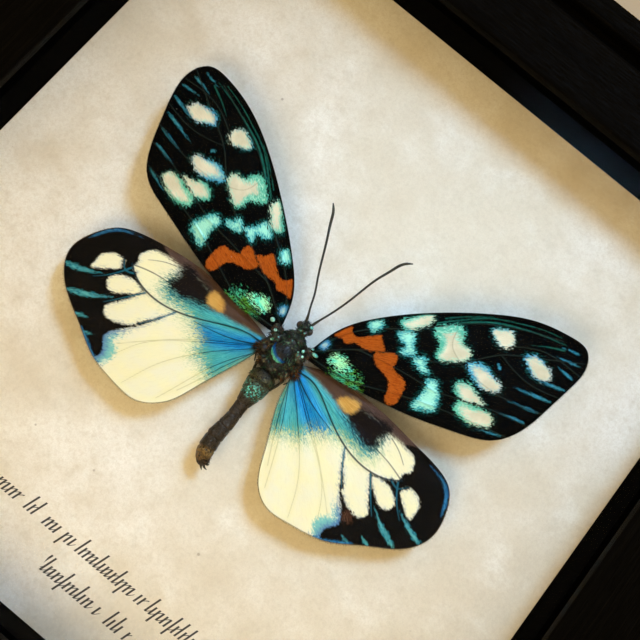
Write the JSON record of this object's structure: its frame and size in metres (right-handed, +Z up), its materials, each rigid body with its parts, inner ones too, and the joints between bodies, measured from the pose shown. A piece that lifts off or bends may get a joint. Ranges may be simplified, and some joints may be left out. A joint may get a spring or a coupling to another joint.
{
  "type": "framed moth specimen",
  "caption": "Spread iridescent moth pinned above mottled parchment in a shallow black-stained wooden shadow-box frame with a glass front.",
  "frame": {"origin": "middle of the frame's back, on the surface that it rests on", "axes": "+Z up through the glass, +Y to the frame's top and the moth's head, +X to the right seen from the front"},
  "size_m": [0.155, 0.155, 0.026],
  "materials": {
    "stained_wood": "black-stained fine-grained wood, satin, with a few specks of dust",
    "spacer_card": "matt black card",
    "clear_glass": "clear, polished",
    "parchment": "cream parchment paper with soft tan and grey clouds, matt",
    "foam": "white foam board, matt",
    "hardboard": "brown pressed hardboard, slightly fibrous",
    "steel": "plain steel, lightly brushed",
    "brass": "brass-plated strip, slightly dull",
    "moth_body": "dark brown chitin with iridescent blue-green scales on the thorax and first abdominal rings",
    "moth_horn": "dark green-black horny chitin, slightly glossy",
    "forewing": "black scales with rust-orange, mint, teal and cream markings, iridescent",
    "hindwing": "cream scales with a blue and teal base and a black border, silky and pleated"
  },
  "bodies": {
    "root": {"rail_top": "stained_wood", "rail_bottom": "stained_wood", "rail_left": "stained_wood", "rail_right": "stained_wood", "spacer_top": "spacer_card", "spacer_bottom": "spacer_card", "spacer_left": "spacer_card", "spacer_right": "spacer_card", "glass_pane": "clear_glass", "parchment_sheet": "parchment", "foam_board": "foam", "back_board": "hardboard", "glazing_point_top_1": "steel", "glazing_point_top_2": "steel", "glazing_point_bottom_1": "steel", "glazing_point_bottom_2": "steel", "glazing_point_left_1": "steel", "glazing_point_left_2": "steel", "glazing_point_right_1": "steel", "glazing_point_right_2": "steel", "sawtooth_hanger": "brass", "hanger_tack_1": "brass", "hanger_tack_2": "brass", "moth_body": "moth_body", "forewing_left": "forewing", "forewing_right": "forewing", "hindwing_left": "hindwing", "hindwing_right": "hindwing", "antenna_left": "moth_horn", "antenna_right": "moth_horn", "foreleg_left": "moth_horn", "foreleg_right": "moth_horn", "midleg_left": "moth_horn", "midleg_right": "moth_horn", "hindleg_left": "moth_horn", "hindleg_right": "moth_horn", "mounting_pin": "steel"}
  },
  "joints": []
}
